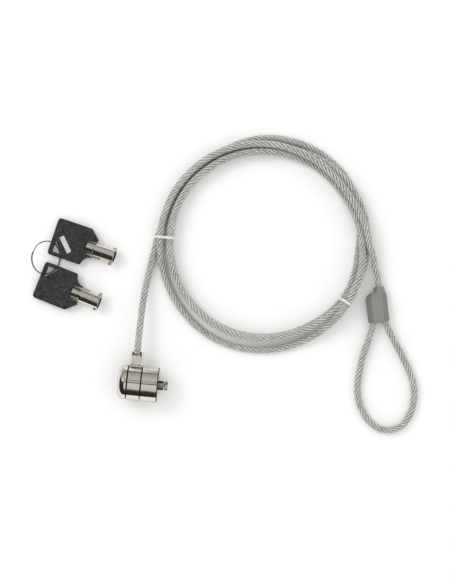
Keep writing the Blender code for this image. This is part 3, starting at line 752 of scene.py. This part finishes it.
def build_cap(nickel, head_r, rear):
    """The domed cap, with the round keyway's mouth and the notch that takes the key's lug."""
    front, corner, mouth_r = station("rear_cap", 1) - SEAM, 4.0, 4.2
    wall, inner_r = rear + 1.15, STEM_R + 0.1
    dome = [(rear + corner - corner * math.cos(a), head_r - corner + corner * math.sin(a))
            for a in np.linspace(0, math.pi / 2, 17)]
    inside = [(front, inner_r), (wall, inner_r), (wall, mouth_r)]
    mouth = [(rear + 0.25, mouth_r), (rear, mouth_r + 0.25)]
    cap = lathe(inside + mouth + dome + front_rim(front, head_r))
    notch = block((3, 1.7, 1.7), (rear, 0, mouth_r + 0.1))
    # Painted shade: the joint faces get the dark second material.
    mesh = paint(solid(cap, ("cut", notch)), in_seam(head_r))
    piece = shown("lock_rear_cap", on_lock(mesh), nickel, "housing")
    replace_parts(piece, "rear_cap")


def build_boss(top):
    """The cable's boss along +Y: a barrel milled flat above and below, each flat running out in an arch."""
    barrel = lathe([(7.4, 0), (7.4, 3.9), (9.6, 3.98), (top - 3.5, 3.84), (top - 0.5, 3.62),
                    (top - 0.15, 3.52), (top, 3.3), (top, 0)], 96)
    boss = turned(barrel, "Z", 90)
    flat_z, arch_end = 2.75, top - 0.75
    cutter = [(8.0, flat_z), (arch_end - 3.2, flat_z), (arch_end - 1.9, flat_z + 0.16),
              (arch_end - 0.9, flat_z + 0.48), (arch_end, flat_z + 1.1), (arch_end, 6.0), (8.0, 6.0)]
    flats = []
    for side in (-1, 1):
        flat = prism([(side * z, y) for y, z in cutter], -8, 8)
        flats.append(("cut", turned(flat, "Y", -90)))
    return solid(boss, *flats, bevel=0.5, segments=4, angle=24.0)


def build_collar(nickel, head_r):
    """The swivel ring, its boss for the cable, and the stepped foot between them."""
    back, front = -COLLAR_HALF + SEAM, COLLAR_HALF - SEAM
    ring = lathe([(back, BORE_R)] + rear_rim(back, head_r) + front_rim(front, head_r) + [(front, BORE_R)])
    top = (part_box("swivel_collar")[1].y - LOCK.y) / MM
    foot = solid(block((6.6, 2.2, 5.4), (0, 9.0, 0)), bevel=0.12)
    grooves = []
    for y, z in ((10.15, 3.3), (8.85, 3.95)):
        for side in (-1, 1):
            grooves.append(("cut", block((6.2, 0.36, 2.0), (0, y, side * z))))
    socket = ("cut", turned(rod(9.0, top + 2, SOCKET_R), "Z", 90))
    bore = ("cut", rod(back - 1, front + 1, BORE_R, steps=96))
    mesh = solid(ring, ("add", build_boss(top)), ("add", foot), *grooves, socket, bore)

    # Painted shade: the joint faces, the two grooves by the flats and the socket's bore get the dark second
    # material.
    def in_painted_shade(at, n):
        upper = 9.9 < at.y < 10.4 and abs(at.z) < 2.34
        ring_edge = math.sqrt(max(0, (head_r - 0.1) ** 2 - at.y ** 2))
        lower = 8.6 < at.y < 9.1 and abs(at.z) < ring_edge
        in_groove = abs(at.x) < 3.15 and abs(at.z) > 1.5 and (upper or lower)
        in_socket = at.y > 8.5 and math.hypot(at.x, at.z) < SOCKET_R + 0.1
        return in_seam(head_r)(at, n) or in_groove or in_socket

    mesh = on_lock(paint(mesh, in_painted_shade))
    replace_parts(shown("lock_collar", mesh, nickel, "cable", 26.0), "swivel_collar")


def build_nose(nickel, head_r, rear, nose_front):
    """The front barrel, with the stem that the collar turns on and two sockets for the slot pins."""
    back, block_r, shaft_r = NOSE_BACK + SEAM, 5.3, 2.1
    stem = [(rear + 1.4, block_r), (rear + 1.4, STEM_R), (back, STEM_R)]
    face = [(nose_front - 0.5, head_r), (nose_front - 0.42, head_r - 0.06), (nose_front, head_r - 0.35),
            (nose_front, shaft_r + 0.4), (nose_front - 0.4, shaft_r)]
    nose = lathe(stem + rear_rim(back, head_r) + face + [(5.9, shaft_r), (5.9, block_r)])
    holes = []
    for pin in ("slot_pin_1", "slot_pin_2"):
        holes.append(("cut", moved(rod(nose_front - 2.9, nose_front + 1, 0.82, steps=24), 0, *pin_at(pin))))

    # Painted shade: the joint faces, the stem and the front rim's forward chamfer get the dark second
    # material.
    def in_painted_shade(at, n):
        round_out = math.hypot(at.y, at.z)
        on_stem = round_out < STEM_R + 0.1 and at.x < 5
        front_edge = n.x > 0.25 and round_out > 9.2
        return in_seam(head_r)(at, n) or on_stem or front_edge

    nose = paint(solid(nose, *holes), in_painted_shade)
    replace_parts(shown("lock_nose", on_lock(nose), nickel, "housing"), "front_housing")


def knobbed_bar(back, thick):
    """The T's cross-bar along Y: a flat oval section that swells at both ends."""
    half_long, knob, waist, squareness = 3.2, 1.3, 1.0, 0.6
    rings = []
    for t in np.linspace(-1, 1, 33):
        swell = waist + (knob - waist) * smooth_step(0.35, 0.6, abs(t))
        end = math.sqrt(max(0.02, 1 - max(0.0, (abs(t) - 0.76) / 0.24) ** 2))
        ring = []
        for a in np.linspace(0, math.tau, 24, endpoint=False):
            across = math.copysign(abs(math.cos(a)) ** squareness, math.cos(a))
            up = math.copysign(abs(math.sin(a)) ** squareness, math.sin(a))
            ring.append((back + thick / 2 + thick / 2 * end * across, half_long * t, swell * end * up))
        rings.append(ring)
    return cleaned(rings_mesh(np.array(rings) * MM))


def build_t_bar(steel, dark_steel, nose_front):
    """The turning T: a necked shank and its cross-bar, beside the two slot pins."""
    thick, shaft_r, neck_r, groove_r = 2.0, 2.0, 1.25, 1.05
    back = station("t_bar", 1) - thick
    groove = nose_front + 0.6
    neck = lathe([(7.0, 0), (7.0, shaft_r), (9.4, shaft_r), (9.4, neck_r), (groove, neck_r),
                  (groove + 0.1, groove_r), (groove + 0.3, groove_r), (groove + 0.4, neck_r),
                  (back + 0.5, neck_r), (back + 0.5, 0)], 48)
    bar = turned(knobbed_bar(back, thick), "X", 50)
    mesh = on_lock(solid(neck, ("add", bar)))
    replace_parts(shown("lock_t_bar", mesh, steel, "plug", 40.0), "t_bar")
    for pin in ("slot_pin_1", "slot_pin_2"):
        mesh = moved(rod(station(pin, 0), station(pin, 1), 0.7, 0.25, 28), 0, *pin_at(pin))
        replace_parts(shown("lock_" + pin, on_lock(mesh), dark_steel, "housing"), pin)


def build_lock(nickel, painted_seam_shade, dark_steel, steel):
    low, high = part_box("rear_cap")
    head_r = (high.z - low.z) / 2 / MM
    rear, nose_front = station("rear_cap", 0), station("front_housing", 1)
    build_cap((nickel["cap"], painted_seam_shade), head_r, rear)
    build_collar((nickel["collar"], painted_seam_shade), head_r)
    build_nose((nickel["nose"], painted_seam_shade), head_r, rear, nose_front)
    build_t_bar(steel, dark_steel, nose_front)


# ---------------------------------------------------------------- keys and ring
# Where each key lies, as in part.py: bow's back edge, heading, pitch and roll in degrees, and turned over.
KEYS = {"key_1": ((-99.74, 22.28, 2.19), -13.33, 3.99, 0.12, False),
        "key_2": ((-105.28, -2.79, 2.56), -16.15, 3.09, 1.24, True)}
KEY_T = 2.0                     # a bow's thickness, mm
WINDOW_AT, WINDOW_TURN = (8.0, -2.6), -46
RING_R, RING_WIRE, RING_STEP = 9.3, 0.28, 0.6


def key_place(name):
    at, heading, pitch, roll, flipped = KEYS[name]
    return (Matrix.Translation(place(*at) * MM) @ Matrix.Rotation(math.radians(heading), 4, "Z")
            @ Matrix.Rotation(math.radians(-pitch), 4, "Y")
            @ Matrix.Rotation(math.radians(roll + (180.0 if flipped else 0.0)), 4, "X"))


def bow_outline():
    """The bow seen from its window side: back edge at zero, key running along +X."""
    w, back, corner = 10.75, -0.2, 1.8
    top = (arc(back + corner, w - corner, corner, 180, 90) + arc(19.0, w - 1.6, 1.6, 90, 48, 4)
           + arc(24.2, 5.3, 0.9, 44, -14, 4))
    notch_x, notch_deep, notch_half = 20.4, 1.4, 3.75
    notch = [(24.5, 4.2), (23.8, notch_half), (notch_x, notch_half)]
    for degrees in range(105, 270, 15):
        a = math.radians(degrees)
        notch.append((notch_x + notch_deep * math.cos(a), notch_half * math.sin(a)))
    notch += [(notch_x, -notch_half), (24.6, -4.3)]
    fillet = arc(25.0, -10.6, 5.6, 92, 166, 8)
    base = arc(18.5, -w + 0.9, 0.9, 330, 270, 3) + arc(back + corner, -w + corner, corner, 270, 180)
    return top + notch + fillet + base


def bow_mesh():
    half = KEY_T / 2
    hole = prism([(2.1, -8.6), (8.0, -8.6), (2.1, -1.9)], -half - 1, half + 1)
    window = block((10.4, 3.0, 2.0), (*WINDOW_AT, 0.35 + 1.0), WINDOW_TURN)
    slot = block((13.0, 8.4, 0.7), (13.9, 0, 0))
    plate = prism(bow_outline()[::-1], -half, half)
    rounded = solid(plate, ("cut", hole), bevel=0.32, segments=3, angle=50.0)
    return solid(rounded, ("cut", window), ("cut", slot))


def barrel_mesh():
    """The tubular end: a neck, the barrel with its open mouth, two lugs and the ribbed web under it."""
    neck = [(19.8, 0), (19.8, 3.0), (20.0, 3.2), (24.0, 3.2), (24.2, 3.3), (24.3, 3.6), (24.6, 3.82)]
    tube_side = [(24.8, 3.85), (36.1, 3.85)]
    mouth = [(36.4, 3.8), (36.55, 3.7), (36.55, 3.62), (36.3, 3.45), (35.3, 3.3)]
    barrel = lathe(neck + tube_side + mouth + [(27.9, 3.3), (27.9, 0)])
    lugs = [("add", solid(block(size, at), bevel=0.22)) for size, at in (
        ((2.0, 2.4, 1.6), (35.45, -4.4, 0)), ((2.0, 1.5, 1.3), (35.45, 4.0, 0)))]
    ribs = []
    for k in range(3):
        rib = block((1.1, 1.5, 1.5), (25.4 + 1.6 * k, -4.15, 0))
        ribs.append(("add", solid(rib, bevel=0.35, segments=3)))
    web = ("add", block((4.6, 1.0, 0.8), (26.7, -4.1, 0)))
    mesh = solid(barrel, *lugs, *ribs, web)
    # Painted shade: the faces inside the bore get the dark second material.
    return paint(mesh, lambda at, n: at.x > 27 and math.hypot(at.y, at.z) < 3.58)


def build_key(name, plastic, nickel, dark, blade):
    plate = solid(block((10.2, 2.8, 0.12), (*WINDOW_AT, 0.30), WINDOW_TURN), bevel=0.04)
    tang = solid(block((11.4, 8.0, 0.6), (13.3, 0, 0)), bevel=0.1)
    at = key_place(name)
    pieces = {"bow": (bow_mesh(), plastic, "black_key_plastic", 24.0),
              "barrel": (barrel_mesh(), (nickel, dark), "nickel_key_metal", 30.0),
              "window": (plate, blade, "nickel_key_metal", 30.0),
              "tang": (tang, blade, "nickel_key_metal", 30.0)}
    for part, (mesh, material, slot, angle) in pieces.items():
        mesh.transform(at)
        piece = shown("%s_%s_skin" % (name, part), mesh, material, name, angle)
        if part != "window":
            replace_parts(piece, "%s_%s" % (name, part))


def ring_line():
    """The split ring's wire: nearly two coils, with the step where they change over, metres."""
    centre = Vector(joints["key_1_swing"]["pos_m"])
    axis = Vector(joints["key_1_swing"]["axis"])
    tilt = Matrix.Rotation(math.atan2(axis.y, axis.x), 3, "Z") @ Matrix.Rotation(math.acos(axis.z), 3, "Y")
    first, last, spacing, step_long, turned_by = 18, 702, 3, 15.0, 150
    points = []
    for degrees in range(first, last + spacing, spacing):
        step = min(1.0, max(-1.0, (degrees - 360) / step_long))
        a = math.radians(degrees + turned_by)
        flat = Vector((RING_R * math.cos(a), RING_R * math.sin(a), RING_STEP / 2 * step))
        points.append(centre + tilt @ flat * MM)
    return np.array(points), np.array(tilt @ Vector((0, 0, 1)))


def build_ring(material):
    line, up = ring_line()
    along = np.gradient(line, axis=0)
    along /= np.linalg.norm(along, axis=1)[:, None]
    side = np.cross(along, up)
    spin = np.linspace(0, math.tau, 12, endpoint=False)
    r = RING_WIRE * MM
    rings = [p + np.outer(np.cos(spin), s) * r + np.outer(np.sin(spin), up) * r for p, s in zip(line, side)]
    mesh = rings_mesh(np.stack(rings))
    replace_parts(shown("split_ring", mesh, material, "key_ring", 60.0), "key_ring")


# ---------------------------------------------------------------- studio
KEY_POWER, FILL = 4.6, 1.06


def build_camera():
    data = bpy.data.cameras.new("photo_camera")
    data.sensor_width = 36.0
    data.lens = data.sensor_width * CAMERA_HEIGHT / VIEW_TALL
    camera = bpy.data.objects.new("photo_camera", data)
    camera.location = place(0, 0, CAMERA_HEIGHT) * MM
    camera.rotation_euler = (0, 0, math.radians(VIEW_ROLL))
    bpy.context.scene.collection.objects.link(camera)
    bpy.context.scene.camera = camera


def build_floor():
    m = Recipe("white_table", Specular_IOR_Level=0.2)
    grain = m.noise(60, 2)
    m.finish(m.ramp(grain, (0.3, (0.885, 0.885, 0.885)), (0.7, (0.9, 0.9, 0.9))), m.spread(grain, 0.7, 0.8))
    mesh = bpy.data.meshes.new("table")
    size = 6.0
    corners = [(-size, -size, 0), (size, -size, 0), (size, size, 0), (-size, size, 0)]
    mesh.from_pydata(corners, [], [(0, 1, 2, 3)])
    mesh.materials.append(m.mat)
    table = bpy.data.objects.new("table", mesh)
    bpy.context.scene.collection.objects.link(table)


def build_key_lamp():
    """A soft box at the upper left, which the metal doesn't mirror."""
    towards_key = Vector((-0.62, 0.34, 0.72)).normalized()
    distance, width = 1.5, 0.6
    data = bpy.data.lights.new("key_light", "AREA")
    data.shape = "RECTANGLE"
    data.size = data.size_y = width
    data.energy = KEY_POWER
    lamp = bpy.data.objects.new("key_light", data)
    lamp.location = place(0, 0, 0) * MM + towards_key * distance
    lamp.rotation_euler = towards_key.to_track_quat("Z", "Y").to_euler()
    lamp.visible_glossy = False
    bpy.context.scene.collection.objects.link(lamp)


def room_level(room):
    """How bright the room is by direction: the metal shows where its dark side ends."""
    coordinates = room.node("TexCoord")
    x, y, z = room.node("SeparateXYZ", Vector=coordinates.outputs["Generated"]).outputs
    minus_y = room.math("MULTIPLY", y, -1.0)
    # The ceiling: bright on the near side, dimmer away from it and towards the walls.
    level = room.math("ADD", 0.26, room.math("MULTIPLY", room.over(z, 0.1, 0.95), 0.34))
    level = room.math("ADD", level, room.math("MULTIPLY", room.over(minus_y, -0.12, 0.10), 0.10))
    # The dark side of the room, up to a slanting edge, and the dark far end.
    towards = room.math("ADD", room.math("MULTIPLY", minus_y, 0.9), room.math("MULTIPLY", x, -0.45))
    edge = room.math("SUBTRACT", 0.65, room.math("MULTIPLY", x, 1.5))
    under_edge = room.over(room.math("SUBTRACT", edge, z), -0.02, 0.02)
    dark = room.math("MULTIPLY", room.over(towards, 0.08, 0.12), under_edge)
    low_down = room.over(room.math("SUBTRACT", 0.62, z), -0.02, 0.02)
    far_end = room.math("MULTIPLY", room.over(x, 0.38, 0.46), low_down)
    # The camera's boom overhead, and a thin rail beside it; a dark skirting all round.
    overhead = room.math("MULTIPLY", room.over(z, 0.4, 0.5), room.band(x, -0.16, 0.5, 0.03))
    boom = room.math("MULTIPLY", room.band(y, 0.02, 0.13, 0.02), 0.85)
    rail = room.math("MULTIPLY", room.band(y, 0.30, 0.36, 0.015), 0.8)
    boom = room.math("MULTIPLY", room.math("MAXIMUM", boom, rail), overhead)
    skirting = room.math("MULTIPLY", room.math("SUBTRACT", 1.0, room.over(z, 0.05, 0.12)), 0.8)
    hidden = room.math("MAXIMUM", room.math("MAXIMUM", dark, boom),
                       room.math("MAXIMUM", skirting, far_end))
    level = room.math("MULTIPLY", level, room.math("SUBTRACT", 1.0, room.math("MULTIPLY", hidden, 0.96)))
    # A small bare bulb in the key light's soft box.
    bulb = room.math("MULTIPLY", room.band(x, -0.66, -0.58, 0.02), room.band(y, 0.20, 0.30, 0.02))
    glow = room.math("MULTIPLY", room.over(z, 0.3, 0.4), 4.0)
    return room.math("ADD", level, room.math("MULTIPLY", bulb, glow))


def build_room():
    """Only reflections see the room: the table is lit evenly, and the backdrop is white."""
    world = bpy.data.worlds.new("studio")
    bpy.context.scene.world = world
    world.use_nodes = True
    room = Nodes(world.node_tree)
    room.tree.nodes.clear()
    mirrored = room.node("LightPath").outputs["Is Glossy Ray"]
    plain = room.math("MULTIPLY", room.math("SUBTRACT", 1.0, mirrored), FILL)
    level = room.math("ADD", room.math("MULTIPLY", room_level(room), mirrored), plain)
    background = room.node("Background", Color=(1.0, 0.995, 0.985, 1.0), Strength=level)
    output = room.node("OutputWorld")
    room.tree.links.new(background.outputs[0], output.inputs["Surface"])
    bpy.context.scene.view_settings.view_transform = "Standard"


# ---------------------------------------------------------------- putting it together
WARM = (0.82, 0.785, 0.70)      # nickel plate


def dress_lock():
    nickel = {part: plated("nickel_" + part, WARM) for part in ("cap", "collar", "nose")}
    # Nearly black steel, dark even at a glance: painted shade for the lock's joints, grooves, socket and
    # stem.
    painted_seam_shade = turned_steel("painted_seam_shade", (0.05, 0.048, 0.045), 0.4, glance=0.08)
    dark_steel = turned_steel("dark_pin_steel", (0.10, 0.095, 0.09), 0.3, glance=0.2)
    build_lock(nickel, painted_seam_shade, dark_steel, turned_steel("t_bar_steel", (0.52, 0.49, 0.42), 0.16))


def dress_cable():
    """The whole cable with its cover and ties."""
    line = cable_line()
    jacket = build_jacket(line, clear_jacket("clear_jacket"))
    strands = build_strands(line, rope_steel("galvanised_strands"))
    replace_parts(jacket, "cable_lead", "cable_coil", "cable_tail", "cable_loop")
    # The sides' vinyl is a darker copy of the top's: painted shade.
    cover = build_cover((vinyl("grey_vinyl"), vinyl("grey_vinyl_painted_shade_sides", 0.82)))
    tie_material = tie_plastic("clear_tie")
    for name, degrees in TIE_ANGLES.items():
        tie = build_tie(name + "_strap", degrees, line, tie_material)
        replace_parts(tie, name)


def dress_keys():
    black = key_plastic("charcoal_key_plastic")
    # Nearly black steel for the inside of the keys' bores: painted shade.
    painted_bore_shade = turned_steel("painted_bore_shade", (0.05, 0.048, 0.045), 0.35, glance=0.1)
    for key in KEYS:
        nickel = plated("nickel_" + key, WARM, 0.1, 0.01, (0.2, 1, 1))
        build_key(key, black, nickel, painted_bore_shade, blade_steel("blade_" + key))
    build_ring(turned_steel("ring_steel", (0.42, 0.41, 0.40), 0.16, 900, glance=0.6))


def dress_mechanism():
    """The CAD parts that are kept as they are, inside the lock and the cover, each in its own metal."""
    own = {"pin_block": brass("brass_block"),
           "spindle": plated("spindle_steel", (0.62, 0.60, 0.57), 0.14),
           "crimp_sleeve": plated("crimp_aluminium", (0.72, 0.72, 0.71), 0.3),
           "cable_end_ferrule": plated("ferrule_steel", (0.6, 0.6, 0.58), 0.2),
           "block_cross_pin": turned_steel("cross_pin_steel", (0.6, 0.6, 0.58))}
    pin_brass = brass("pin_brass")
    spring_steel = turned_steel("spring_steel", (0.66, 0.66, 0.65))
    for node, part in frame["nodes"].items():
        metal = own.get(node)
        if node.startswith("key_pin"):
            metal = pin_brass
        elif node.startswith(("driver_pin", "pin_spring")):
            metal = spring_steel
        if metal:
            part.data.materials.clear()
            part.data.materials.append(metal)


build_camera()
build_floor()
build_key_lamp()
build_room()
dress_lock()
dress_cable()
dress_keys()
dress_mechanism()
